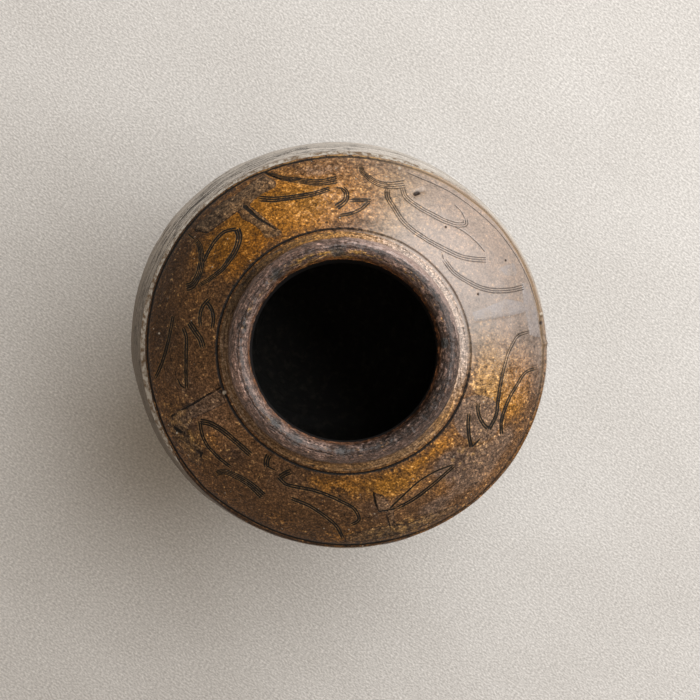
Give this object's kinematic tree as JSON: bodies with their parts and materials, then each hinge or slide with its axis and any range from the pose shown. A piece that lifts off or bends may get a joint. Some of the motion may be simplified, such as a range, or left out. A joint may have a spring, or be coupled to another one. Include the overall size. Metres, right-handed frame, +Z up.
{
  "type": "martaban jar",
  "caption": "Wide-shouldered stoneware storage jar with a short neck, thick rolled rim, incised glazed shoulder, bare body and flat base.",
  "frame": {"origin": "on the jar's axis at the underside of the base slab, where the jar stands", "axes": "+Z up along the jar's axis; seen from above as in the picture, +X is right and +Y is the top of the picture"},
  "size_m": [0.312, 0.312, 0.33],
  "materials": {
    "bare_stoneware": "matte",
    "amber_glaze": "satin",
    "rim_glaze": "satin",
    "scar_glaze": "matte"
  },
  "bodies": {
    "root": {"base_disc": "bare_stoneware", "corner_coil": "bare_stoneware", "lower_wall": "bare_stoneware", "lower_belly": "bare_stoneware", "upper_belly": "bare_stoneware", "shoulder_dome": "amber_glaze", "neck_collar": "amber_glaze", "rim_roll": "rim_glaze", "lug_root_back": "scar_glaze", "lug_root_left": "scar_glaze", "lug_root_front": "scar_glaze", "lug_root_right": "scar_glaze"}
  },
  "joints": []
}
